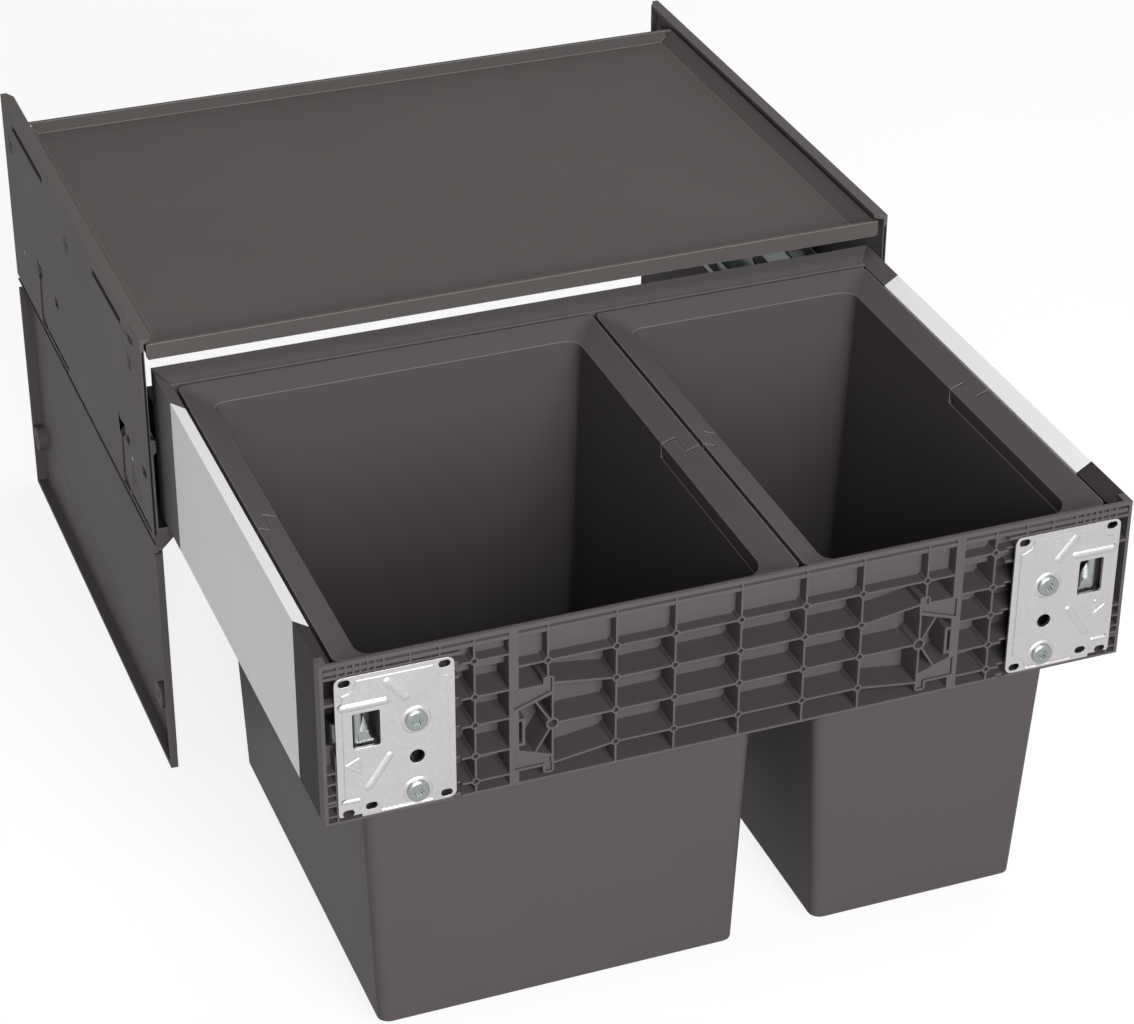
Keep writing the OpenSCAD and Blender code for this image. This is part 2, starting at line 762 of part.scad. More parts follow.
module front_panel() {
    color(rib_col) difference() {
        union() {
            along_y(drawer_y0, drawer_y0 + cell_d + 0.1) panel_2d();
            along_y(drawer_y0 + cell_d, drawer_y0 + deep_d + 0.1) intersection() {
                panel_2d();
                deep_field2();
            }
            along_y(drawer_y0 + cell_d, front_y1) difference() {
                translate([-drawer_w / 2, 211.5]) square([drawer_w, drawer_z1 - 211.5]);
                translate([-deep_x + 1.5, 210]) square([2 * deep_x - 3, 89]);
            }
            along_y(drawer_y0 + deep_d, deep_y1) deep_field2();
            along_y(drawer_y0 + cell_d, deep_y1) difference() {
                deep_field2();
                translate([-deep_x + 1.5, 213]) square([2 * deep_x - 3, 298.4 - 213]);
            }
            box([32 - half_w, front_y1 - 0.1, 299], [half_w - 32, front_y1 + 2.4, lip_z]);
            box([12 - half_w, drawer_y0 + 0.5, rim_z - 1.6], [half_w - 12, front_y1, rim_z + 1]);
            for (s = [-1, 1]) lever_ears(s);
        }
        dimples();
        brow_cut();
        for (s = [-1, 1]) {
            mirror([s > 0 ? 0 : 1, 0, 0]) {
                along_y(drawer_y0 - 1, drawer_y0 + hook_pocket) hook_pockets2();
                box([step_x, drawer_y0 - 1, 200], [step_x + 5, drawer_y0 + 3, 316]);
                box([bracket_x + 34, front_y1 - 4, 264], [half_w - drawer_u - 2.2, front_y1 + 1, 314]);
            }
            translate([s * (lever_x - 3.6), 0, 0]) box([-9.4, drawer_y0 - 1, lever_z[0] - 0.4], [9.4, front_y1 + 1, lever_z[1] + 0.4]);
            rod_z(258, 298, s * lever_x, lever_y, pin_r + run_gap);
        }
    }
}

// Front brackets, drawn around their own centre in X and Z with +X outward
module bracket_plate2() {
    w = bracket_w / 2;
    h = bracket_h / 2;
    difference() {
        round_rect2(bracket_w, bracket_h, 5);
        for (sx = [-1, 1], sz = [-1, 1]) translate([sx * slot_dx / 2, sz * slot_dz / 2]) slot2(slot_l, slot_r);
        translate([16.8, -45.1]) slot2(slot_l, slot_r);
        translate([18.7, 12]) round_rect2(17.5, 25.6, 1.2);
        for (p = bracket_screws_at) translate(p - [bracket_x, bracket_z]) circle(r = 2.4 + run_gap);
        translate([screw_x - 0.3 - bracket_x, 251.3 - bracket_z]) circle(r = 4.85);
        translate([23, -h - 1]) square([w, 3.2]);
    }
}

// the raised field of the sheet, clear of the slots
module bracket_field2() {
    w = bracket_w / 2 - 4.4;
    h = bracket_h / 2 - 3.6;
    difference() {
        translate([-w, -h]) square([2 * w, 2 * h]);
        for (sx = [-1, 1], sz = [-1, 1]) translate([sx * (slot_dx / 2 + 2), sz * (slot_dz / 2 + 1)]) circle(r = 9.4);
        translate([17.8, -47]) circle(r = 6.6);
        translate([18.7, 12]) round_rect2(17.5, 25.6, 1.2);
        for (p = bracket_screws_at) translate(p - [bracket_x, bracket_z]) circle(r = 2.4 + run_gap);
        translate([screw_x - 0.3 - bracket_x, 251.3 - bracket_z]) circle(r = 4.85);
    }
}

// a bead pressed out of the sheet, w wide and h high
module bead(p, q, w, h) {
    d = q - p;
    r = (w * w / 4 + h * h) / (2 * h);
    translate([p[0], field_y - h + r, p[1]]) rotate([0, -atan2(d[1], d[0]), 0]) {
        rotate([0, 90, 0]) cylinder(h = norm(d), r = r, $fn = 48);
        sphere(r = r, $fn = 48);
        translate([norm(d), 0, 0]) sphere(r = r, $fn = 48);
    }
}

module bracket_beads() {
    intersection() {
        union() {
            bead([6.5, 30.2], [33.2, 30.2], 5.4, 1);
            bead([4.6, 43.2], [-6.2, 30.2], 6.6, 0.8);
            bead([4.6, -10.4], [18.4, -30.4], 5.2, 0.8);
            bead([25, -38.6], [34, -38.6], 3, 0.6);
            bead([24.2, -8.2], [32.2, -11.8], 1.6, 0.4);
            bead([32.2, -11.8], [23.4, -18.2], 1.6, 0.4);
            bead([23.4, -18.2], [24.2, -8.2], 1.6, 0.4);
        }
        box([-60, -6, -60], [60, field_y + 0.1, 60]);
    }
    intersection() {
        translate([0, 0.5, 0]) bead([-22, -50.2], [10, -50.2], 2.6, 0.9);
        box([-60, -6, -60], [60, -bracket_t + 0.1, 60]);
    }
}

module bracket_solid() {
    translate([bracket_x, drawer_y0, bracket_z]) {
        along_y(-bracket_t, 0) bracket_plate2();
        along_y(field_y, -bracket_t + 0.1) bracket_field2();
        bracket_beads();
        difference() {
            for (p = bracket_screws_at) translate([p[0] - bracket_x, field_y + 0.1, p[1] - bracket_z])
                rotate([90, 0, 0]) cylinder(h = 0.9, r1 = 9.8, r2 = 8.6);
            for (p = bracket_screws_at)
                rod_y(-bracket_t - 3, 1, p[0] - bracket_x, p[1] - bracket_z, 2.4 + run_gap);
        }
    }
}

module front_bracket_left() {
    color(zinc_col) mirror([1, 0, 0]) bracket_solid();
}

module front_bracket_right() {
    color(zinc_col) bracket_solid();
}

// a wide low-headed screw with a six-lobed recess
module bracket_screw(x, z) {
    y = drawer_y0 + field_y - 0.8;
    difference() {
        union() {
            rod_y(y - 1.2, y, x, z, 7.1);
            translate([x, y - 1.1, z]) rotate([90, 0, 0]) cylinder(h = 0.8, r1 = 7.1, r2 = 6);
            rod_y(y - 0.1, drawer_y0 + 10, x, z, 2.4);
        }
        along_y(y - 3, y - 0.5) translate([x, z]) {
            circle(r = 2.6);
            for (a = [0 : 60 : 300]) rotate(a) translate([2.4, 0]) circle(r = 0.9);
        }
    }
}

module bracket_screws() {
    color(screw_col) for (s = [-1, 1], p = bracket_screws_at) bracket_screw(s * p[0], p[1]);
}

// Release levers
module lever_pin_left() {
    color(screw_col) rod_z(lever_z[0] - 2.2, lever_z[1] + 2.2, -lever_x, lever_y, pin_r);
}

module lever_pin_right() {
    color(screw_col) rod_z(lever_z[0] - 2.2, lever_z[1] + 2.2, lever_x, lever_y, pin_r);
}

// a barrel on the pin with a forked finger piece that reaches toward the middle
module lever_solid() {
    difference() {
        union() {
            rod_z(lever_z[0], lever_z[1], 0, 0, 4.4);
            along_y(-4.4, -1.4) polygon([[0, 286], [-4.2, 282], [-11, 274.5], [-11, 267.3], [-9.2, 270.8],
                [-7.4, 266.8], [-5.6, 270.8], [-4, 267.2], [0, 267.2]]);
        }
        rod_z(lever_z[0] - 1, lever_z[1] + 1, 0, 0, pin_r + run_gap + 0.02);
    }
}

module release_lever_left() {
    color(screw_col) translate([-lever_x, lever_y, 0]) mirror([1, 0, 0]) lever_solid();
}

module release_lever_right() {
    color(screw_col) translate([lever_x, lever_y, 0]) lever_solid();
}

// Bins and handles
// the rectangle and the height of the rim surface a fraction t of the way inward
function rim_rect(a, b, t) = a + (b - a) * t;
function rim_top(t) = rim_z - rim_fall * t;
function rim_ring(a, b, t, z) = ring(rim_rect(a, b, t), 5 + 5 * t, z, front_dip * max(0, t));
function grow(a, d) = a + [-d, d, -d, d];

module bin_body(a, b, low) {
    lip = rim_z - 12.5;
    loft([ring(low, 8, bin_z), ring(grow(b, bin_t), 10, rim_top(1) - 11.8, front_dip),
        ring(grow(a, -5), 6, lip - 1.9, front_dip / 3), ring(grow(a, -2.8), 5.6, lip), ring(a, 5, lip),
        ring(a, 5, rim_z), ring(b, 10, rim_top(1), front_dip), ring(grow(low, -bin_t), 8, bin_z + bin_t)]);
}

// the band between the rim surface and a depth below it
module rim_band(a, b, t0, t1, z_top, drop) {
    loft([rim_ring(a, b, t0, rim_top(t0) - drop), rim_ring(a, b, t0, z_top),
        rim_ring(a, b, t1, z_top), rim_ring(a, b, t1, rim_top(t1) - drop)], true);
}

// the hollow under the rim between lip and wall
module rim_hollow(a, b) {
    t0 = 0.1;
    t1 = 0.88;
    loft([rim_ring(a, b, t0, 300), rim_ring(a, b, t0, rim_top(t0) - 2.2),
        rim_ring(a, b, t1, rim_top(t1) - 2.2), rim_ring(a, b, t1, 300)], true);
}

// half of the rim width on both sides of a bin, from y0 to y1
module outer_halves(a, b, y0, y1, gap) {
    m0 = (a[0] + b[0]) / 2 + gap;
    m1 = (a[1] + b[1]) / 2 - gap;
    box([a[0] - 3, y0, 295], [m0, y1, 335]);
    box([m1, y0, 295], [a[1] + 3, y1, 335]);
}

module bin_solid(a, b, low) {
    gap = 0.3;
    difference() {
        bin_body(a, b, low);
        difference() {
            rim_band(a, b, -0.11, 1.16, 330, seat_drop);
            box([a[0] - 4, arm_y + tail_r + 0.4, 290], [a[1] + 4, 0, 340]);
            outer_halves(a, b, seam_y, 0, -gap);
        }
        intersection() {
            rim_hollow(a, b);
            box([a[0] - 4, -184, 290], [a[1] + 4, 10, 340]);
        }
        rod_x((a[0] + b[0]) / 2 - 7, (a[0] + b[0]) / 2 + 2, arm_y, arm_z, pivot_r + run_gap);
        rod_x((a[1] + b[1]) / 2 - 2, (a[1] + b[1]) / 2 + 7, arm_y, arm_z, pivot_r + run_gap);
    }
}

module bin_left() {
    color(plastic_col) bin_solid(bin_l_out, bin_l_in, bin_l_low);
}

module bin_right() {
    color(plastic_col) bin_solid(bin_r_out, bin_r_in, bin_r_low);
}

// a bail that lies flush in the front half of the rim and turns up about two pivots
module handle_solid(a, b) {
    gap = 0.3;
    m0 = (a[0] + b[0]) / 2;
    m1 = (a[1] + b[1]) / 2;
    difference() {
        rim_band_solid(a, b);
        box([a[0] - 4, arm_y + tail_r, 290], [a[1] + 4, 10, 340]);
        intersection() {
            rim_under(a, b);
            box([a[0] - 4, -400, 290], [a[1] + 4, -217, 340]);
        }
        intersection() {
            outer_halves(a, b, -230, 0, gap);
            union() {
                rod_x(a[0] - 4, a[1] + 4, arm_y, arm_z, arm_cut_r);
                box([a[0] - 4, arm_y, 290], [a[1] + 4, 0, 340]);
            }
        }
        difference() {
            box([a[0] - 4, arm_y, 290], [a[1] + 4, 10, 340]);
            rod_x(a[0] - 5, a[1] + 5, arm_y, arm_z, tail_r);
        }
    }
    rod_x(m0 - 6, m0 + 3, arm_y, arm_z, pivot_r);
    rod_x(m1 - 3, m1 + 6, arm_y, arm_z, pivot_r);
}

module rim_band_solid(a, b) {
    loft([rim_ring(a, b, 0, rim_top(0) - handle_t), rim_ring(a, b, 0, rim_top(0)),
        rim_ring(a, b, 1, rim_top(1)), rim_ring(a, b, 1, rim_top(1) - handle_t)], true);
}

module rim_under(a, b) {
    loft([rim_ring(a, b, 0.1, 300), rim_ring(a, b, 0.1, rim_top(0.1) - 2),
        rim_ring(a, b, 0.9, rim_top(0.9) - 2), rim_ring(a, b, 0.9, 300)], true);
}

module handle_left() {
    color(plastic_col) handle_solid(bin_l_out, bin_l_in);
}

module handle_right() {
    color(plastic_col) handle_solid(bin_r_out, bin_r_in);
}

// Lid
// a shallow tray whose down-turned side lips ride on the ledges of the plates
module lid_tray() {
    w = half_w - 5.5;
    inner = half_w - 15;
    color(lid_col) {
        difference() {
            box([-inner - 1.5, lid_y0, lid_z0], [inner + 1.5, lid_y1, lid_z1]);
            box([-inner, lid_y0 + 3, lid_z0 + 2], [inner, lid_y1 - 3, lid_z1 + 1]);
        }
        for (s = [-1, 1]) mirror([s > 0 ? 0 : 1, 0, 0]) {
            box([inner, lid_y0, lid_z1 - 1.5], [w, lid_y1, lid_z1]);
            box([w - 1.5, lid_y0 + 2, lid_z1 - 8.3], [w, lid_y1, lid_z1]);
            box([inner + 1, lid_y0, lid_z0 + 2], [w, lid_y0 + 3, lid_z1]);
            box([inner + 1, lid_y0, lid_z0], [w - 2, lid_y0 + 3, lid_z0 + 2.1]);
            rod_y(lid_y0, lid_y0 + 3, w - 2, lid_z0 + 2, 2);
        }
    }
}

side_plate_left();
side_plate_right();
lid_catch_left();
lid_catch_right();
cabinet_rail_left();
cabinet_rail_right();
rail_screws();
lid_tray();
lower_cage_left();
lower_cage_right();
middle_rail_left();
middle_rail_right();
upper_cage_left();
upper_cage_right();
drawer_rail_left();
drawer_rail_right();
soft_close_left();
soft_close_right();
drawer_side_left();
drawer_side_right();
front_cap_left();
front_cap_right();
back_cap_left();
back_cap_right();
front_panel();
back_bar();
front_bracket_left();
front_bracket_right();
bracket_screws();
lever_pin_left();
lever_pin_right();
release_lever_left();
release_lever_right();
bin_left();
bin_right();
handle_left();
handle_right();
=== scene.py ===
"""Looks of a pull-out waste bin frame: plates, lid, runners, drawer, brackets and bins."""

from __future__ import annotations

import json
import logging
import math
from dataclasses import dataclass, field
from enum import Enum

import bmesh
import bpy
from mathutils import Matrix, Vector

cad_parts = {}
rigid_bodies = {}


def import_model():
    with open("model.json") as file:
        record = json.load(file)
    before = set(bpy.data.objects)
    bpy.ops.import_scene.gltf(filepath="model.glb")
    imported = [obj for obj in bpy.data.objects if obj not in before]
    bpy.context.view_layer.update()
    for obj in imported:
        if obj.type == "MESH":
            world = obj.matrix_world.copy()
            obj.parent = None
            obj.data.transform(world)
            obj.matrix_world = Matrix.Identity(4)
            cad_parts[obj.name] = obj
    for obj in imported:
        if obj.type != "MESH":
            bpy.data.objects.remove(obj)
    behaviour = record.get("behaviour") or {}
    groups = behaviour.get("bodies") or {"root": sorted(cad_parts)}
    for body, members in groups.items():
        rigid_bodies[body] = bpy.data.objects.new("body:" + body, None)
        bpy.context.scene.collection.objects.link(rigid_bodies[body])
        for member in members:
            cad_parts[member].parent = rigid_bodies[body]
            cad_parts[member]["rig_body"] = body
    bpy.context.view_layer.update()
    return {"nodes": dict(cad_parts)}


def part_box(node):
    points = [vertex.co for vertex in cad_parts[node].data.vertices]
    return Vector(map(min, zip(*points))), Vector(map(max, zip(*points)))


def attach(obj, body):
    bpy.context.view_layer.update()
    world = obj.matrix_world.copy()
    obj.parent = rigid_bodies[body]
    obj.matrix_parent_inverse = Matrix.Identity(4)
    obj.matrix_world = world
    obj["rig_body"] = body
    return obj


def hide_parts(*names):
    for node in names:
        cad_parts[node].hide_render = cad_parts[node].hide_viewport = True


LOG = logging.getLogger("bin_frame")
MM = 1000.0
EDGE_TURN = 0.72

Pair = tuple[float, float]
Outline = tuple[Pair, ...]


class Side(Enum):
    """The two sides of the frame, as seen from the front."""

    LEFT = "left"
    RIGHT = "right"


class Grain(Enum):
    """How coarse the moulded surface of a plastic piece is."""

    FINE = 0.00035
    MEDIUM = 0.0006
    COARSE = 0.0011


def linear(level: float) -> float:
    """Turn one sRGB level from 0 to 255 into a linear value."""
    c = level / 255.0
    return c / 12.92 if c <= 0.04045 else ((c + 0.055) / 1.055) ** 2.4


def rgba(levels: tuple[float, float, float]) -> tuple[float, float, float, float]:
    """Turn three sRGB levels into a linear colour with alpha 1."""
    return (linear(levels[0]), linear(levels[1]), linear(levels[2]), 1.0)


class Graph:
    """A thin wrapper that adds and joins the nodes of one node tree."""

    def __init__(self, tree: bpy.types.NodeTree) -> None:
        """Start from an empty tree.

        Args:
            tree: The node tree that is filled.
        """
        self.tree = tree
        tree.nodes.clear()

    def add(self, kind: str, **values: object) -> bpy.types.Node:
        """Add a node and set its properties and unlinked inputs.

        Args:
            kind: The node's type name.
            values: Attributes of the node, or inputs by name with spaces as underscores.

        Returns:
            The new node.
        """
        node = self.tree.nodes.new(kind)
        for name, value in values.items():
            if hasattr(node, name):
                setattr(node, name, value)
            else:
                node.inputs[name.replace("_", " ")].default_value = value
        return node

    def join(self, start: bpy.types.NodeSocket, end: bpy.types.NodeSocket) -> None:
        """Join an output to an input."""
        self.tree.links.new(start, end)

    def ramp(self, fac: bpy.types.NodeSocket, low: float, high: float) -> bpy.types.Node:
        """Map a 0 to 1 value to a range.

        Args:
            fac: The value that is mapped.
            low: The result at 0.
            high: The result at 1.

        Returns:
            The Map Range node.
        """
        node = self.add("ShaderNodeMapRange")
        node.inputs["To Min"].default_value = low
        node.inputs["To Max"].default_value = high
        self.join(fac, node.inputs["Value"])
        return node

    def seen(self) -> bpy.types.NodeSocket:
        """Tell what the camera sees directly, in a reflection or through glass.

        Returns:
            An output that is 1 for these rays and 0 for the light that falls on the frame.
        """
        path = self.add("ShaderNodeLightPath")
        first = self.add("ShaderNodeMath", operation="MAXIMUM")
        second = self.add("ShaderNodeMath", operation="MAXIMUM")
        self.join(path.outputs["Is Camera Ray"], first.inputs[0])
        self.join(path.outputs["Is Glossy Ray"], first.inputs[1])
        self.join(first.outputs[0], second.inputs[0])
        self.join(path.outputs["Is Transmission Ray"], second.inputs[1])
        return second.outputs[0]

    def mix(
        self,
        fac: bpy.types.NodeSocket,
        first: bpy.types.NodeSocket | tuple[float, float, float, float],
        second: tuple[float, float, float, float],
    ) -> bpy.types.NodeSocket:
        """Mix two colours.

        Args:
            fac: The share of the second colour.
            first: A colour or the output that carries it.
            second: The colour at a share of 1.

        Returns:
            The mixed colour's output.
        """
        node = self.add("ShaderNodeMix", data_type="RGBA")
        self.join(fac, node.inputs[0])
        if isinstance(first, bpy.types.NodeSocket):
            self.join(first, node.inputs[6])
        else:
            node.inputs[6].default_value = first
        node.inputs[7].default_value = second
        return node.outputs[2]


def edge_mask(graph: Graph, radius: float) -> tuple[bpy.types.Node, bpy.types.NodeSocket]:
    """Find the sharp edges of a piece.

    Args:
        graph: The material's graph.
        radius: How far from an edge it still counts, in metres.

    Returns:
        The Bevel node, and an output that is 1 at an edge and 0 on a flat face.
    """
    soft = graph.add("ShaderNodeBevel", samples=6, Radius=radius)
    flat = graph.add("ShaderNodeNewGeometry")
    dot = graph.add("ShaderNodeVectorMath", operation="DOT_PRODUCT")
    graph.join(soft.outputs["Normal"], dot.inputs[0])
    graph.join(flat.outputs["Normal"], dot.inputs[1])
    edge = graph.add("ShaderNodeMapRange")
    edge.inputs["From Min"].default_value = 1.0
    edge.inputs["From Max"].default_value = EDGE_TURN
    graph.join(dot.outputs["Value"], edge.inputs["Value"])
    return soft, edge.outputs["Result"]


@dataclass(frozen=True)
class MouldedPlastic:
    """Injection-moulded plastic with a fine grain and a painted highlight that makes its edges slightly
    lighter.
    """

    name: str
    base: tuple[float, float, float]
    # edge is the colour of the painted highlight on the sharp edges.
    edge: tuple[float, float, float]
    roughness: float = 0.5
    grain: Grain = Grain.MEDIUM
    relief: float = 0.12
    edge_radius: float = 0.0006
    gloss: float = 0.15
    clouds: float = 9.0
    shade: float = 0.93
    spread: float = 0.04
    # Least share of the painted edge highlight, where the cloud noise is low.
    least_highlight: float = 0.75

    def build(self) -> bpy.types.Material:
        """Make the material.

        Returns:
            The new material.
        """
        mat = bpy.data.materials.new(self.name)
        mat.use_nodes = True
        g = Graph(mat.node_tree)
        coords = g.add("ShaderNodeTexCoord")
        cloud = g.add("ShaderNodeTexNoise", Scale=self.clouds, Detail=3.0, Roughness=0.55)
        grain = g.add("ShaderNodeTexNoise", Scale=1.0 / self.grain.value, Detail=2.0)
        for tex in (cloud, grain):
            g.join(coords.outputs["Object"], tex.inputs["Vector"])
        dark = tuple(c * self.shade for c in rgba(self.base)[:3]) + (1.0,)
        share = g.ramp(cloud.outputs["Fac"], 0.0, 1.0)
        body = g.mix(share.outputs["Result"], rgba(self.base), dark)
        # Painted highlight: the edge colour is mixed in at sharp edges, more strongly in patches of the cloud
        # noise.
        soft, edge = edge_mask(g, self.edge_radius)
        highlight_share = g.add("ShaderNodeMath", operation="MULTIPLY")
        g.join(edge, highlight_share.inputs[0])
        highlight_patches = g.ramp(cloud.outputs["Fac"], self.least_highlight, 1.0)
        g.join(highlight_patches.outputs["Result"], highlight_share.inputs[1])
        colour = g.mix(highlight_share.outputs[0], body, rgba(self.edge))
        bump = g.add("ShaderNodeBump", Strength=self.relief, Distance=self.grain.value * 0.3)
        g.join(grain.outputs["Fac"], bump.inputs["Height"])
        g.join(soft.outputs["Normal"], bump.inputs["Normal"])
        low, high = self.roughness - self.spread, self.roughness + self.spread
        shine = g.ramp(cloud.outputs["Fac"], low, high)
        shader = g.add("ShaderNodeBsdfPrincipled")
        shader.inputs["IOR"].default_value = 1.46
        shader.inputs["Specular IOR Level"].default_value = self.gloss
        g.join(colour, shader.inputs["Base Color"])
        g.join(shine.outputs["Result"], shader.inputs["Roughness"])
        g.join(bump.outputs["Normal"], shader.inputs["Normal"])
        out = g.add("ShaderNodeOutputMaterial")
        g.join(shader.outputs["BSDF"], out.inputs["Surface"])
        return mat


@dataclass(frozen=True)
class PlatedSteel:
    """Zinc-plated sheet or turned steel with a fine sparkle and drawing lines."""

    name: str
    base: tuple[float, float, float]
    deep: tuple[float, float, float]
    roughness: float = 0.36
    sparkle: float = 0.0007
    lines: float = 0.0
    edge_radius: float = 0.0004
    haze_scale: float = 30.0
    line_scale: float = 1400.0
    line_stretch: float = 0.02
    least_line: float = 0.04
    spread: Pair = (0.06, 0.08)

    def build(self) -> bpy.types.Material:
        """Make the material.

        Returns:
            The new material.
        """
        mat = bpy.data.materials.new(self.name)
        mat.use_nodes = True
        g = Graph(mat.node_tree)
        coords = g.add("ShaderNodeTexCoord")
        flakes = g.add("ShaderNodeTexVoronoi", Scale=1.0 / self.sparkle)
        haze = g.add("ShaderNodeTexNoise", Scale=self.haze_scale, Detail=4.0)
        stretch = g.add("ShaderNodeMapping")
        stretch.inputs["Scale"].default_value = (1.0, self.line_stretch, 1.0)
        drawn = g.add("ShaderNodeTexNoise", Scale=self.line_scale, Detail=2.0)
        g.join(coords.outputs["Object"], flakes.inputs["Vector"])
        g.join(coords.outputs["Object"], haze.inputs["Vector"])
        g.join(coords.outputs["Object"], stretch.inputs["Vector"])
        g.join(stretch.outputs["Vector"], drawn.inputs["Vector"])
        spot = g.add("ShaderNodeSeparateColor")
        g.join(flakes.outputs["Color"], spot.inputs["Color"])
        share = g.ramp(spot.outputs["Red"], 0.0, 0.5)
        cast = g.ramp(haze.outputs["Fac"], 0.0, 0.5)
        colour = g.mix(share.outputs["Result"], rgba(self.base), rgba(self.deep))
        colour = g.mix(cast.outputs["Result"], colour, rgba(self.deep))
        soft, _ = edge_mask(g, self.edge_radius)
        bump = g.add("ShaderNodeBump", Strength=self.least_line + self.lines, Distance=0.0001)
        g.join(drawn.outputs["Fac"], bump.inputs["Height"])
        g.join(soft.outputs["Normal"], bump.inputs["Normal"])
        low, high = self.roughness - self.spread[0], self.roughness + self.spread[1]
        shine = g.ramp(spot.outputs["Green"], low, high)
        shader = g.add("ShaderNodeBsdfPrincipled")
        shader.inputs["Metallic"].default_value = 1.0
        g.join(colour, shader.inputs["Base Color"])
        g.join(shine.outputs["Result"], shader.inputs["Roughness"])
        g.join(bump.outputs["Normal"], shader.inputs["Normal"])
        out = g.add("ShaderNodeOutputMaterial")
        g.join(shader.outputs["BSDF"], out.inputs["Surface"])
        return mat


@dataclass
class Finishes:
    """Every finish of the frame, made once."""

    plate: bpy.types.Material = field(init=False)
    lid: bpy.types.Material = field(init=False)
    panel: bpy.types.Material = field(init=False)
    cap: bpy.types.Material = field(init=False)
    bar: bpy.types.Material = field(init=False)
    bin: bpy.types.Material = field(init=False)
    cover: bpy.types.Material = field(init=False)
    cage: bpy.types.Material = field(init=False)
    zinc: bpy.types.Material = field(init=False)
    runner: bpy.types.Material = field(init=False)
    screw: bpy.types.Material = field(init=False)

    def __post_init__(self) -> None:
        """Build the materials."""
        # The second colour of each plastic is its painted edge highlight.
        self.plate = MouldedPlastic(
            "plate_plastic", (91, 87, 86), (122, 117, 116), roughness=0.55, gloss=0.05
        ).build()
        self.lid = MouldedPlastic(
            "lid_plastic", (85, 81, 80), (170, 165, 163),
            roughness=0.6, grain=Grain.COARSE, edge_radius=0.0009, gloss=0.06,
        ).build()
        self.panel = MouldedPlastic(
            "panel_plastic", (84, 79, 81), (116, 110, 112),
            grain=Grain.FINE, relief=0.08, edge_radius=0.0003, gloss=0.07,
        ).build()
        self.cap = MouldedPlastic("cap_plastic", (58, 54, 54), (104, 99, 99), gloss=0.02).build()
        self.bar = MouldedPlastic("bar_plastic", (86, 82, 82), (132, 127, 127), gloss=0.05).build()
        self.bin = MouldedPlastic(
            "bin_plastic", (79, 74, 76), (162, 155, 157),
            roughness=0.45, grain=Grain.FINE, edge_radius=0.0009, gloss=0.045,
        ).build()
        self.cover = MouldedPlastic(
            "cover_plastic", (236, 235, 235), (245, 245, 244), grain=Grain.FINE
        ).build()
        self.cage = MouldedPlastic(
            "cage_plastic", (150, 150, 146), (180, 180, 176), roughness=0.45, grain=Grain.FINE
        ).build()
        self.zinc = PlatedSteel("zinc_sheet", (196, 195, 194), (170, 169, 168), roughness=0.38).build()
        self.runner = PlatedSteel(
            "runner_zinc", (112, 118, 115), (88, 94, 91), roughness=0.42, sparkle=0.0012, lines=0.05
        ).build()
        self.screw = PlatedSteel(
            "screw_zinc", (154, 158, 158), (132, 137, 137), roughness=0.32, sparkle=0.0005
        ).build()


@dataclass(frozen=True)
class Lamp:
    """A rectangular soft lamp."""

    name: str
    place: tuple[float, float, float]
    size: tuple[float, float]
    power: float
    aim: tuple[float, float, float] = (0.0, -0.05, 0.2)


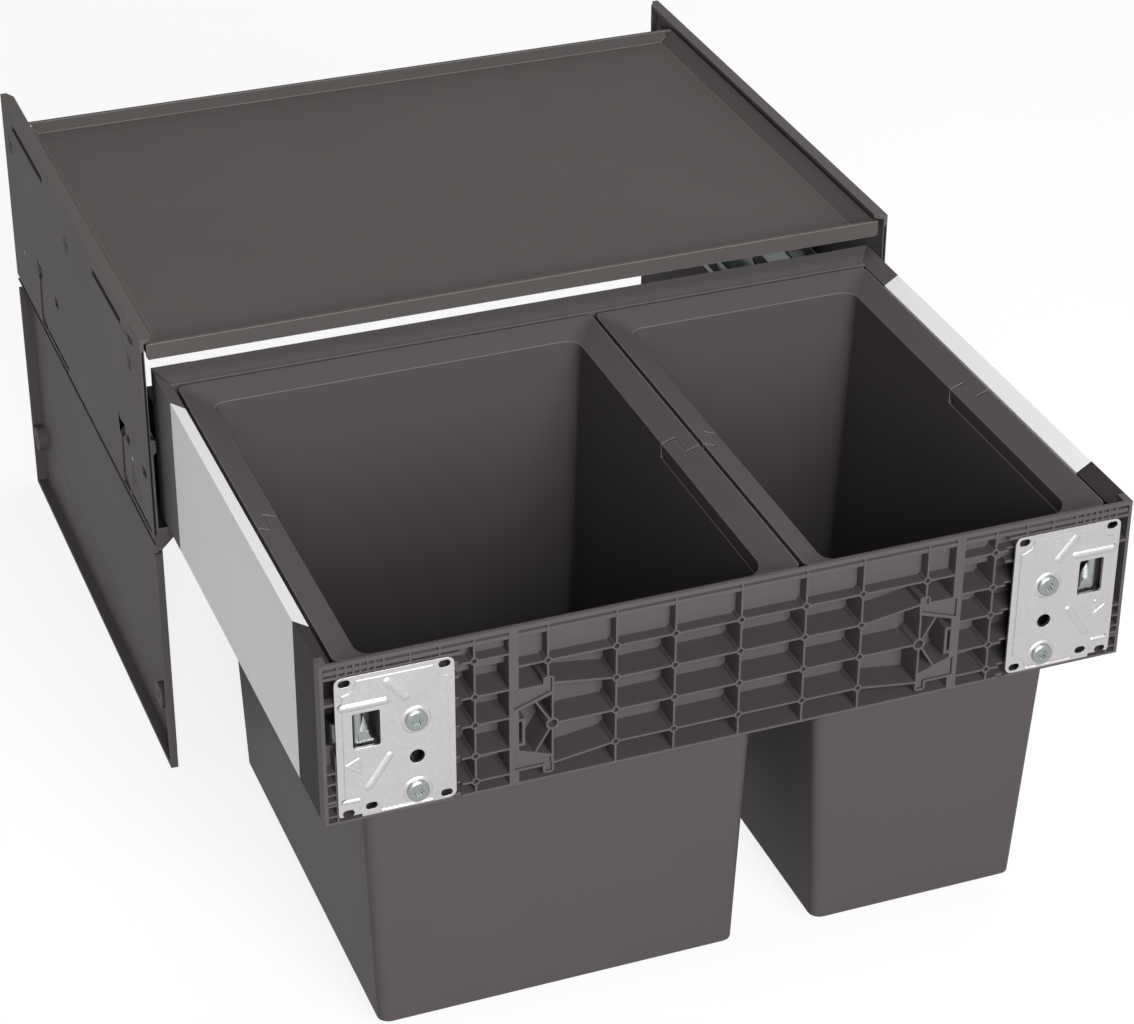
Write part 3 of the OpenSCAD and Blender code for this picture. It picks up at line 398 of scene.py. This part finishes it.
@dataclass
class Studio:
    """Camera, lamps, world and floor."""

    place: tuple[float, float, float] = (-0.68699, -1.86922, 1.36354)
    azimuth: float = -20.895
    elevation: float = 31.087
    roll: float = 0.175
    lens: float = 99.80
    film: float = 36.0
    shift: Pair = (0.0041, -0.0015)
    sky: float = 0.10
    bounce: float = 0.45
    shade: float = 0.2
    glow: float = 0.84
    floor_reach: float = 30.0
    floor_gap: float = 0.0015
    lamps: tuple[Lamp, ...] = (
        Lamp("front", (-0.2, -3.2, 1.6), (2.0, 1.8), 158.0),
        Lamp("top", (0.6, 0.3, 3.2), (2.0, 2.0), 42.0),
        Lamp("left", (-3.2, 0.1, 0.1), (2.4, 0.5), 23.0, (0.0, 0.0, 0.15)),
    )

    def camera(self) -> None:
        """Set the camera at the photograph's viewing angle."""
        data = bpy.data.cameras.new("camera")
        data.lens = self.lens
        data.sensor_width = self.film
        data.shift_x, data.shift_y = self.shift
        cam = bpy.data.objects.new("camera", data)
        bpy.context.scene.collection.objects.link(cam)
        turn = (
            Matrix.Rotation(math.radians(self.azimuth), 4, "Z")
            @ Matrix.Rotation(math.radians(90 - self.elevation), 4, "X")
            @ Matrix.Rotation(math.radians(self.roll), 4, "Z")
        )
        cam.matrix_world = Matrix.Translation(self.place) @ turn
        bpy.context.scene.camera = cam

    def lamp(self, lamp: Lamp) -> None:
        """Hang a soft lamp that faces the frame.

        Args:
            lamp: The lamp's place, size and power.
        """
        data = bpy.data.lights.new(lamp.name, "AREA")
        data.shape = "RECTANGLE"
        data.size, data.size_y = lamp.size
        data.energy = lamp.power
        obj = bpy.data.objects.new(lamp.name, data)
        obj.visible_camera = False
        bpy.context.scene.collection.objects.link(obj)
        place = Vector(lamp.place)
        aim = Vector(lamp.aim) - place
        obj.rotation_mode = "QUATERNION"
        obj.rotation_quaternion = aim.to_track_quat("-Z", "Y")
        obj.location = place

    def world(self) -> None:
        """Light everything softly, and show white behind the frame."""
        world = bpy.data.worlds.new("studio")
        world.use_nodes = True
        bpy.context.scene.world = world
        g = Graph(world.node_tree)
        seen = g.seen()
        light = g.add("ShaderNodeBackground", Color=(1, 1, 1, 1), Strength=self.sky)
        white = g.add("ShaderNodeBackground", Color=(1, 1, 1, 1), Strength=1.0)
        pick = g.add("ShaderNodeMixShader")
        g.join(seen, pick.inputs[0])
        g.join(light.outputs[0], pick.inputs[1])
        g.join(white.outputs[0], pick.inputs[2])
        out = g.add("ShaderNodeOutputWorld")
        g.join(pick.outputs[0], out.inputs["Surface"])

    def floor(self) -> None:
        """Lay a pale floor under the frame."""
        mesh = bpy.data.meshes.new("floor")
        bm = bmesh.new()
        bmesh.ops.create_grid(bm, x_segments=1, y_segments=1, size=self.floor_reach)
        bmesh.ops.translate(bm, verts=bm.verts, vec=(0, 0, -self.floor_gap))
        bm.to_mesh(mesh)
        bm.free()
        mat = bpy.data.materials.new("floor_white")
        mat.use_nodes = True
        g = Graph(mat.node_tree)
        plain = g.add("ShaderNodeBsdfDiffuse", Color=(self.bounce,) * 3 + (1,))
        shade = g.add("ShaderNodeBsdfDiffuse", Color=(self.shade,) * 3 + (1,))
        glow = g.add("ShaderNodeEmission", Color=(1, 1, 1, 1), Strength=self.glow)
        both = g.add("ShaderNodeAddShader")
        pick = g.add("ShaderNodeMixShader")
        g.join(shade.outputs[0], both.inputs[0])
        g.join(glow.outputs[0], both.inputs[1])
        g.join(g.seen(), pick.inputs[0])
        g.join(plain.outputs[0], pick.inputs[1])
        g.join(both.outputs[0], pick.inputs[2])
        out = g.add("ShaderNodeOutputMaterial")
        g.join(pick.outputs[0], out.inputs["Surface"])
        mesh.materials.append(mat)
        obj = bpy.data.objects.new("floor", mesh)
        bpy.context.scene.collection.objects.link(obj)

    def build(self) -> None:
        """Set up the whole studio."""
        self.camera()
        self.world()
        self.floor()
        for lamp in self.lamps:
            self.lamp(lamp)
        bpy.context.scene.view_settings.view_transform = "Standard"


@dataclass(frozen=True)
class Prism:
    """An outline drawn out along one axis, in millimetres.

    The outline holds y and z for axis 0, x and z for axis 1, and x and y for axis 2.
    """

    outline: Outline
    start: float
    end: float
    axis: int = 0

    def add_to(self, bm: bmesh.types.BMesh) -> None:
        """Add the closed prism to a mesh.

        Args:
            bm: The mesh in metres.
        """
        face = bm.faces.new([bm.verts.new(self.point(a, b)) for a, b in self.outline])
        move = [0.0, 0.0, 0.0]
        move[self.axis] = (self.end - self.start) / MM
        drawn = bmesh.ops.extrude_face_region(bm, geom=[face], use_keep_orig=True)
        top = [v for v in drawn["geom"] if isinstance(v, bmesh.types.BMVert)]
        bmesh.ops.translate(bm, verts=top, vec=move)

    def point(self, a: float, b: float) -> Vector:
        """Place one point of the outline at the prism's start, in metres."""
        spot = [a, b]
        spot.insert(self.axis, self.start)
        return Vector(spot) / MM


@dataclass(frozen=True)
class Turned:
    """A profile of radius and height turned about an upright axis, in millimetres."""

    profile: Outline
    place: Pair = (0.0, 0.0)
    steps: int = 40

    def add_to(self, bm: bmesh.types.BMesh) -> None:
        """Add the turned form to a mesh.

        Args:
            bm: The mesh in metres.
        """
        x, y = self.place
        points = [bm.verts.new(Vector((x + radius, y, height)) / MM) for radius, height in self.profile]
        edges = [bm.edges.new(pair) for pair in zip(points, points[1:])]
        bmesh.ops.spin(
            bm,
            geom=points + edges,
            cent=Vector((x, y, 0)) / MM,
            axis=(0, 0, 1),
            angle=2 * math.pi,
            steps=self.steps,
            use_merge=True,
        )
        rims = [e for e in bm.edges if e.is_boundary]
        bmesh.ops.holes_fill(bm, edges=rims, sides=self.steps)


Form = Prism | Turned


def moved(outline: Outline, a: float, b: float = 0.0) -> Outline:
    """Move an outline along its two axes."""
    return tuple((a + x, b + y) for x, y in outline)


def block(low: tuple[float, float, float], high: tuple[float, float, float]) -> Prism:
    """Give the prism between two corners in millimetres."""
    outline = ((low[1], low[2]), (high[1], low[2]), (high[1], high[2]), (low[1], high[2]))
    return Prism(outline, low[0], high[0])


def mesh_of(forms: tuple[Form, ...], place: Matrix) -> bpy.types.Mesh:
    """Make one mesh of several closed forms.

    Args:
        forms: The forms in millimetres.
        place: Where the forms go, in metres.

    Returns:
        The mesh, with its faces turned outward.
    """
    mesh = bpy.data.meshes.new("forms")
    bm = bmesh.new()
    for form in forms:
        form.add_to(bm)
    bmesh.ops.transform(bm, matrix=place, verts=bm.verts)
    bmesh.ops.recalc_face_normals(bm, faces=bm.faces)
    bm.to_mesh(mesh)
    bm.free()
    return mesh


def ordered(mesh: bpy.types.Mesh) -> bpy.types.Mesh:
    """Rebuild a mesh with points and faces in a fixed order, so that each run gives the same piece.

    Args:
        mesh: A mesh whose order may differ from run to run.

    Returns:
        The new mesh.
    """
    spots = [tuple(round(c, 7) for c in v.co) for v in mesh.vertices]
    order = sorted(range(len(spots)), key=lambda k: spots[k])
    place = {old: new for new, old in enumerate(order)}
    faces = []
    for polygon in mesh.polygons:
        ring = [place[k] for k in polygon.vertices]
        first = ring.index(min(ring))
        faces.append(tuple(ring[first:] + ring[:first]))
    result = bpy.data.meshes.new(mesh.name)
    result.from_pydata([spots[k] for k in order], [], sorted(faces))
    return result


def joined(mesh: bpy.types.Mesh, forms: bpy.types.Mesh, operation: str) -> bpy.types.Mesh:
    """Add forms to a closed mesh or cut them from it.

    Args:
        mesh: The closed mesh.
        forms: The mesh of the forms.
        operation: UNION, DIFFERENCE or INTERSECT.

    Returns:
        The new mesh.
    """
    host = bpy.data.objects.new("host", mesh)
    tool = bpy.data.objects.new("tool", forms)
    for obj in (host, tool):
        bpy.context.scene.collection.objects.link(obj)
    change = host.modifiers.new("carve", "BOOLEAN")
    change.operation = operation
    change.solver = "EXACT"
    change.use_self = True
    change.object = tool
    seen = host.evaluated_get(bpy.context.evaluated_depsgraph_get())
    result = bpy.data.meshes.new_from_object(seen)
    for obj in (host, tool):
        bpy.data.objects.remove(obj)
    return ordered(result)


def side_frame(side: Side, half: float) -> Matrix:
    """Give the matrix from distances off one cabinet wall to the frame's own axes.

    Args:
        side: The wall's side.
        half: Half the width between the walls in metres.

    Returns:
        The matrix, which mirrors on the right.
    """
    s = 1.0 if side is Side.LEFT else -1.0
    return Matrix.Translation((-s * half, 0, 0)) @ Matrix.Diagonal((s, 1, 1, 1))


@dataclass
class Maker:
    """Copies CAD nodes into finished pieces with rounded edges."""

    nodes: dict[str, bpy.types.Object]
    weld: float = 2e-6
    flat: float = 0.6

    def paint(self, node: str, material: bpy.types.Material) -> None:
        """Give a CAD node a finish and keep it as it is.

        Args:
            node: The CAD node.
            material: Its finish.
        """
        obj = self.nodes[node]
        obj.data.materials.clear()
        obj.data.materials.append(material)
        LOG.info("painted %s", node)

    def merged(self, node: str) -> bpy.types.Mesh:
        """Copy a CAD node's mesh and merge it to one closed mesh.

        Args:
            node: The CAD node.

        Returns:
            The copy.
        """
        mesh = self.nodes[node].data.copy()
        bm = bmesh.new()
        bm.from_mesh(mesh)
        bmesh.ops.remove_doubles(bm, verts=bm.verts, dist=self.weld)
        bmesh.ops.dissolve_degenerate(bm, edges=bm.edges, dist=self.weld)
        bm.to_mesh(mesh)
        bm.free()
        return mesh

    def rounded(
        self,
        node: str,
        material: bpy.types.Material,
        slot: str,
        width: float,
        angle: float = 28.0,
        smooth: float = 30.0,
        mesh: bpy.types.Mesh | None = None,
    ) -> bpy.types.Object:
        """Stand a piece with rounded edges in a CAD node's place.

        Args:
            node: The CAD node that is replaced.
            material: The piece's finish.
            slot: The record's material slot; not used.
            width: The width of the rounding in metres.
            angle: Edges sharper than this are rounded, in degrees.
            smooth: Faces that meet at less than this are shaded smooth.
            mesh: The piece's shape, or none for the node's own.

        Returns:
            The new piece.
        """
        mesh = mesh or self.merged(node)
        mesh.name = node + "_shell"
        bm = bmesh.new()
        bm.from_mesh(mesh)
        bmesh.ops.dissolve_limit(
            bm,
            angle_limit=math.radians(self.flat),
            verts=bm.verts,
            edges=bm.edges,
            delimit={"NORMAL"},
        )
        if width > 0:
            sharp = [
                e
                for e in bm.edges
                if len(e.link_faces) == 2
                and e.is_manifold
                and e.calc_face_angle(0.0) > math.radians(angle)
            ]
            bmesh.ops.bevel(
                bm,
                geom=sharp,
                offset=width,
                offset_type="OFFSET",
                affect="EDGES",
                segments=2,
                profile=0.5,
                material=-1,
                clamp_overlap=True,
                miter_outer="ARC",
            )
        wide = [f for f in bm.faces if len(f.verts) > 4]
        bmesh.ops.triangulate(bm, faces=wide, quad_method="BEAUTY", ngon_method="EAR_CLIP")
        for face in bm.faces:
            face.smooth = True
        for e in bm.edges:
            e.smooth = e.calc_face_angle(0.0) < math.radians(smooth)
        bm.to_mesh(mesh)
        bm.free()
        mesh.materials.clear()
        mesh.materials.append(material)
        obj = bpy.data.objects.new(node + "_shell", mesh)
        bpy.context.scene.collection.objects.link(obj)
        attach(obj, self.nodes[node]["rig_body"])
        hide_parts(node)
        even = obj.modifiers.new("even", "WEIGHTED_NORMAL")
        even.keep_sharp = True
        LOG.info("rounded %s: %d faces", node, len(mesh.polygons))
        return obj


@dataclass
class CabinetSide:
    """The wall plates with their catches, rails and screws.

    The forms are in millimetres: x inward from the cabinet wall, y from the front edge and z from the floor.
    A pair gives a start and an end, and a rise is measured from the lid's underside. The edge slot's heights
    are its start from the floor and its end below the top.
    """

    maker: Maker
    finishes: Finishes
    half: float
    depth: float
    top: float
    lid_low: float
    wall: float = 2.8
    skin: float = 0.01
    past: float = 1.0
    rounding: float = 0.0004
    plain_ledges: Outline = ((64, 148), (312, 426))
    plain_ledge_rise: Pair = (1.5, 5.3)
    plain_hooks: Pair = (90, 356)
    plain_hook: Outline = ((-6, 232), (6, 260))
    plain_stem: Outline = ((3, 198.6), (6, 232.5))
    plain_lugs: Outline = ((294, 246), (69, 246), (22, 244))
    plain_lug_half: float = 3.5
    plain_recesses: Outline = ((5.5, 92.5), (267.5, 354.5))
    plain_recess_heights: Pair = (196, 199)
    ledges: Outline = ((58, 143), (303, 410))
    ledge_rise: Pair = (1.9, 7.6)
    catch: Pair = (23, 38)
    catch_rise: Pair = (1.9, 6.4)
    groove: Pair = (38.6, 57)
    groove_rise: Pair = (2, 2.8)
    groove_depth: float = 0.6
    hook_inset: float = 90.0
    hook_window: Outline = ((-2, 257), (-7, 253), (-21, 255), (-21, 247), (-9, 237), (-3, 240))
    hook_stem: Outline = ((-5.6, 236.6), (-14, 239), (-12, 208), (-3, 207.4))
    hook_foot: Outline = ((-3, 207), (-14, 210), (-24, 204.5), (-24, 200), (-3, 199))
    hook_depth: float = 1.8
    recess: Pair = (96, 25)
    recess_front: float = 6.0
    recess_heights: Pair = (200, 204)
    recess_depth: float = 1.4
    rear_lug: Pair = (152, 247)
    front_lugs: Outline = ((69, 247), (22, 245))
    lug_window: Outline = ((0, -4), (1, 3.5), (-12, 4), (-13, -3))
    band_heights: Pair = (193.2, 197.6)
    band_depth: float = 1.6
    edge_slot: Pair = (0.5, 2.2)
    edge_slot_end: float = 6.0
    edge_slot_heights: Pair = (201, 9)
    flange: float = 9.0
    flange_front: Outline = ((6, 0.9), (9, 4))
    flange_rear: float = 4.2
    flange_reach: float = 14.0
    flange_under: float = 0.3

    def filled(self) -> tuple[Form, ...]:
        """Close the plain slots of the wall where formed ones follow.

        Returns:
            The forms that are added.
        """
        wall, lid, lug = self.wall, self.lid_low, self.plain_lug_half
        low, high = self.plain_ledge_rise
        forms = [block((0, y0, lid + low), (wall, y1, lid + high)) for y0, y1 in self.plain_ledges]
        for y in self.plain_hooks:
            for (y0, z0), (y1, z1) in (self.plain_hook, self.plain_stem):
                forms.append(block((0, y + y0, z0), (wall, y + y1, z1)))
        forms += [block((0, y - lug, z - lug), (wall, y + lug, z + lug)) for y, z in self.plain_lugs]
        low, high = self.plain_recess_heights
        forms += [block((0, y0, low), (wall, y1, high)) for y0, y1 in self.plain_recesses]
        return tuple(forms)

    def lid_cuts(self) -> list[Form]:
        """Give the ledge windows, the catch's slot and the groove under the lid.

        Returns:
            The forms that are cut away.
        """
        out, lid = -self.past, self.lid_low
        low, high = self.ledge_rise
        inner = self.wall - self.skin
        forms: list[Form] = [block((out, y0, lid + low), (inner, y1, lid + high)) for y0, y1 in self.ledges]
        (y0, y1), (low, high) = self.catch, self.catch_rise
        forms.append(block((out, y0, lid + low), (self.wall + self.past, y1, lid + high)))
        (y0, y1), (low, high) = self.groove, self.groove_rise
        forms.append(block((out, y0, lid + low), (self.groove_depth, y1, lid + high)))
        return forms

    def hook_cuts(self, y: float) -> list[Form]:
        """Give one hook-shaped window with the shallow stem, foot and recess under it.

        Args:
            y: The hook's place.

        Returns:
            The forms that are cut away.
        """
        out, (start, end), (low, high) = -self.past, self.recess, self.recess_heights
        return [
            Prism(moved(self.hook_window, y), out, self.wall + self.past),
            Prism(moved(self.hook_stem, y), out, self.hook_depth),
            Prism(moved(self.hook_foot, y), out, self.hook_depth),
            block((out, max(self.recess_front, y - start), low), (self.recess_depth, y - end, high)),
        ]

    def edge_cuts(self) -> list[Form]:
        """Give the band at half height, the front edge's slot and the flange's cut back.

        Returns:
            The forms that are cut away.
        """
        past, back, width = self.past, self.depth + self.past, self.flange
        low, high = self.band_heights
        (inner, outer), (start, below) = self.edge_slot, self.edge_slot_heights
        reach, near = self.flange_reach, self.flange_front[0][0]
        outline = self.flange_front + (
            (width, self.depth - width), (self.flange_rear, back), (reach, back), (reach, -past), (near, -past),
        )
        return [
            block((-past, -past, low), (self.band_depth, back, high)),
            block((inner, -past, start), (outer, self.edge_slot_end, self.top - below)),
            Prism(outline, self.top - self.wall - self.flange_under, self.top + past, 2),
        ]

    def cuts(self) -> tuple[Form, ...]:
        """Give all that is cut from the wall.

        Returns:
            The forms that are cut away.
        """
        forms = self.lid_cuts()
        for y in (self.hook_inset, self.depth - self.hook_inset):
            forms += self.hook_cuts(y)
        inset, height = self.rear_lug
        for y, z in ((self.depth - inset, height), *self.front_lugs):
            forms.append(Prism(moved(self.lug_window, y, z), -self.past, self.wall + self.past))
        return tuple(forms + self.edge_cuts())

    def build(self) -> None:
        """Dress both plates and what is fixed to them."""
        for side in Side:
            node = "side_plate_" + side.value
            place = side_frame(side, self.half)
            mesh = joined(self.maker.merged(node), mesh_of(self.filled(), place), "UNION")
            mesh = joined(mesh, mesh_of(self.cuts(), place), "DIFFERENCE")
            self.maker.rounded(node, self.finishes.plate, "plate", self.rounding, mesh=mesh)
            self.maker.paint("lid_catch_" + side.value, self.finishes.cap)
            self.maker.paint("cabinet_rail_" + side.value, self.finishes.runner)
        self.maker.paint("rail_screws", self.finishes.screw)


@dataclass
class Lid:
    """The flat tray above the bins, whose side walls lean outward, in millimetres."""

    maker: Maker
    finishes: Finishes
    half: float
    low: float
    high: float
    front: float
    back: float
    edge_gap: float = 5.5
    foot_gap: float = 15.0
    lean: float = 6.0
    sheet: float = 1.0
    foot: Pair = (3.0, 2.0)
    clear: Pair = (6.8, 12.0)
    rim: float = 4.2
    lip: float = 8.3
    lip_sheet: float = 1.5
    end_wall: float = 3.0
    rounding: float = 0.0006

    def face(self) -> Outline:
        """Give the foot and the head of a leaning wall's inner face."""
        inner = self.half - self.foot_gap
        return (inner - self.foot[0], self.low + self.foot[1]), (inner + self.lean, self.high)

    def wall(self, sign: int) -> Prism:
        """Give one leaning side wall with its rim and lip.

        Args:
            sign: -1 for the left wall and 1 for the right one.

        Returns:
            The form that is added.
        """
        edge, inner = self.half - self.edge_gap, self.half - self.foot_gap
        lip, rim = self.high - self.lip, self.high - self.rim
        outline = self.face() + (
            (edge, self.high), (edge, lip), (edge - self.lip_sheet, lip), (edge - self.lip_sheet, rim),
            (inner + self.lean - self.sheet, rim), (inner - self.foot[0] + self.sheet, self.low),
        )
        return Prism(tuple((sign * x, z) for x, z in outline), self.front + 1, self.back, 1)

    def slope(self, sign: int) -> Prism:
        """Give what is cut away above a leaning wall.

        Args:
            sign: -1 for the left wall and 1 for the right one.

        Returns:
            The form that is cut away.
        """
        inner, above = self.half - self.foot_gap, self.high + 1
        outer, middle = inner + self.clear[0], inner - self.clear[1]
        outline = self.face() + ((outer, above), (middle, above), (middle, self.low + self.foot[1]))
        start, end = self.front + self.end_wall, self.back - self.end_wall
        return Prism(tuple((sign * x, z) for x, z in outline), start, end, 1)

    def build(self) -> None:
        """Shape and dress the tray."""
        here = Matrix.Identity(4)
        walls = mesh_of((self.wall(-1), self.wall(1)), here)
        mesh = joined(self.maker.merged("lid_tray"), walls, "UNION")
        mesh = joined(mesh, mesh_of((self.slope(-1), self.slope(1)), here), "DIFFERENCE")
        self.maker.rounded("lid_tray", self.finishes.lid, "lid", self.rounding, mesh=mesh)


@dataclass
class Runners:
    """Middle rails, drawer rails, roller cages and dampers, in millimetres."""

    maker: Maker
    finishes: Finishes
    open_length: float = 138.0
    open_above: float = 8.0
    wall: float = 1.5
    past: float = 1.0
    rounding: float = 0.0003

    def open_rail(self, side: Side) -> None:
        """Open the top of a middle rail's rear end.

        Args:
            side: The rail's side.
        """
        node = "middle_rail_" + side.value
        low, high = (Vector(v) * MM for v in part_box(node))
        if side is Side.RIGHT:
            near, far = low.x - self.past, high.x - self.wall
        else:
            near, far = low.x + self.wall, high.x + self.past
        start = (near, high.y - self.open_length, low.z + self.open_above)
        cut = block(start, (far, high.y + self.past, high.z + self.past))
        mesh = joined(self.maker.merged(node), mesh_of((cut,), Matrix.Identity(4)), "DIFFERENCE")
        self.maker.rounded(node, self.finishes.runner, "runner_steel", self.rounding, mesh=mesh)

    def build(self) -> None:
        """Dress the runners of both sides."""
        for side in Side:
            s = side.value
            self.open_rail(side)
            self.maker.paint("drawer_rail_" + s, self.finishes.runner)
            self.maker.paint("lower_cage_" + s, self.finishes.cage)
            self.maker.paint("upper_cage_" + s, self.finishes.cage)
            self.maker.paint("soft_close_" + s, self.finishes.cage)


@dataclass
class Drawer:
    """Covers, caps, back member and ribbed front member."""

    maker: Maker
    finishes: Finishes
    rounding: float = 0.0005

    def build(self) -> None:
        """Dress the drawer."""
        for side in Side:
            s = side.value
            self.maker.rounded("drawer_side_" + s, self.finishes.cover, "cover", self.rounding)
            self.maker.rounded("front_cap_" + s, self.finishes.cap, "dark_plastic", self.rounding)
            self.maker.rounded("back_cap_" + s, self.finishes.bar, "dark_plastic", self.rounding)
        self.maker.rounded("back_bar", self.finishes.bar, "dark_plastic", self.rounding)
        self.maker.paint("front_panel", self.finishes.panel)


@dataclass
class Brackets:
    """Zinc plates, their screws and the release levers.

    A lever's forms are in millimetres: x and y from the middle of its pin, and z from the floor.
    """

    maker: Maker
    finishes: Finishes
    plate_rounding: float = 0.00025
    lever_rounding: float = 0.00012
    barrel: tuple[float, float, float] = (4.2, 4.4, 4.0)
    barrel_end: float = 0.6
    skirt: Outline = ((9.3, 266.9), (9.3, 268.7), (8.4, 268.8), (3.4, 286.0))
    skirt_place: Pair = (-3.0, 1.6)
    finger: Outline = ((0, 287), (-3, 286), (-11, 273.5), (-11, 267), (0, 267))
    finger_depth: Pair = (-4.9, -1.4)
    tooth: Outline = ((0.4, 267.0), (1.4, 272.0), (1.2, 275.0))
    tooth_place: Pair = (-6.0, -3.6)
    pin_hole: float = 1.6
    past: float = 1.0

    def lever(self, side: Side) -> None:
        """Shape a release lever: a barrel on its pin and a flared finger piece with a tooth.

        Args:
            side: The lever's side.
        """
        node = "release_lever_" + side.value
        pin_low, pin_high = (Vector(v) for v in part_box("lever_pin_" + side.value))
        low, high = (v.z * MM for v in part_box(node))
        axis = (pin_low + pin_high) / 2
        s = 1.0 if side is Side.RIGHT else -1.0
        place = Matrix.Translation((axis.x, axis.y, 0)) @ Matrix.Diagonal((s, 1, 1, 1))
        skirt = mesh_of((Turned(self.skirt, self.skirt_place),), place)
        finger = mesh_of((Prism(self.finger, *self.finger_depth, axis=1),), place)
        skirt = joined(skirt, finger, "INTERSECT")
        (bottom, middle, top), end = self.barrel, self.barrel_end
        barrel = ((bottom, low), (middle, low + end), (middle, high - end), (top, high))
        body = joined(mesh_of((Turned(barrel),), place), skirt, "UNION")
        body = joined(body, mesh_of((Turned(self.tooth, self.tooth_place),), place), "UNION")
        hole = ((self.pin_hole, low - self.past), (self.pin_hole, high + self.past))
        body = joined(body, mesh_of((Turned(hole),), place), "DIFFERENCE")
        self.maker.rounded(node, self.finishes.screw, "screw_steel", self.lever_rounding, mesh=body)

    def build(self) -> None:
        """Dress the brackets of both sides."""
        for side in Side:
            s = side.value
            self.maker.rounded("front_bracket_" + s, self.finishes.zinc, "zinc", self.plate_rounding)
            self.lever(side)
            self.maker.paint("lever_pin_" + s, self.finishes.screw)
        self.maker.paint("bracket_screws", self.finishes.screw)


@dataclass
class Bins:
    """The two bins and their bail handles."""

    maker: Maker
    finishes: Finishes
    rounding: float = 0.0007
    sharp: float = 32.0

    def build(self) -> None:
        """Dress bins and handles."""
        for side in Side:
            for node in ("bin_" + side.value, "handle_" + side.value):
                self.maker.rounded(node, self.finishes.bin, "bin", self.rounding, self.sharp)


def main() -> None:
    """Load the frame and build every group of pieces."""
    logging.basicConfig(level=logging.INFO, format="%(message)s")
    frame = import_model()
    maker = Maker(frame["nodes"])
    finishes = Finishes()
    Studio().build()
    plate = Vector(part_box("side_plate_right")[1]) * MM
    lid_low, lid_high = (Vector(v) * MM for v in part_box("lid_tray"))
    groups = (
        CabinetSide(maker, finishes, plate.x / MM, plate.y, plate.z, lid_low.z),
        Lid(maker, finishes, plate.x, lid_low.z, lid_high.z, lid_low.y, lid_high.y),
        Runners(maker, finishes),
        Drawer(maker, finishes),
        Brackets(maker, finishes),
        Bins(maker, finishes),
    )
    for group in groups:
        group.build()
        LOG.info("built %s", type(group).__name__)


if __name__ == "__main__":
    main()
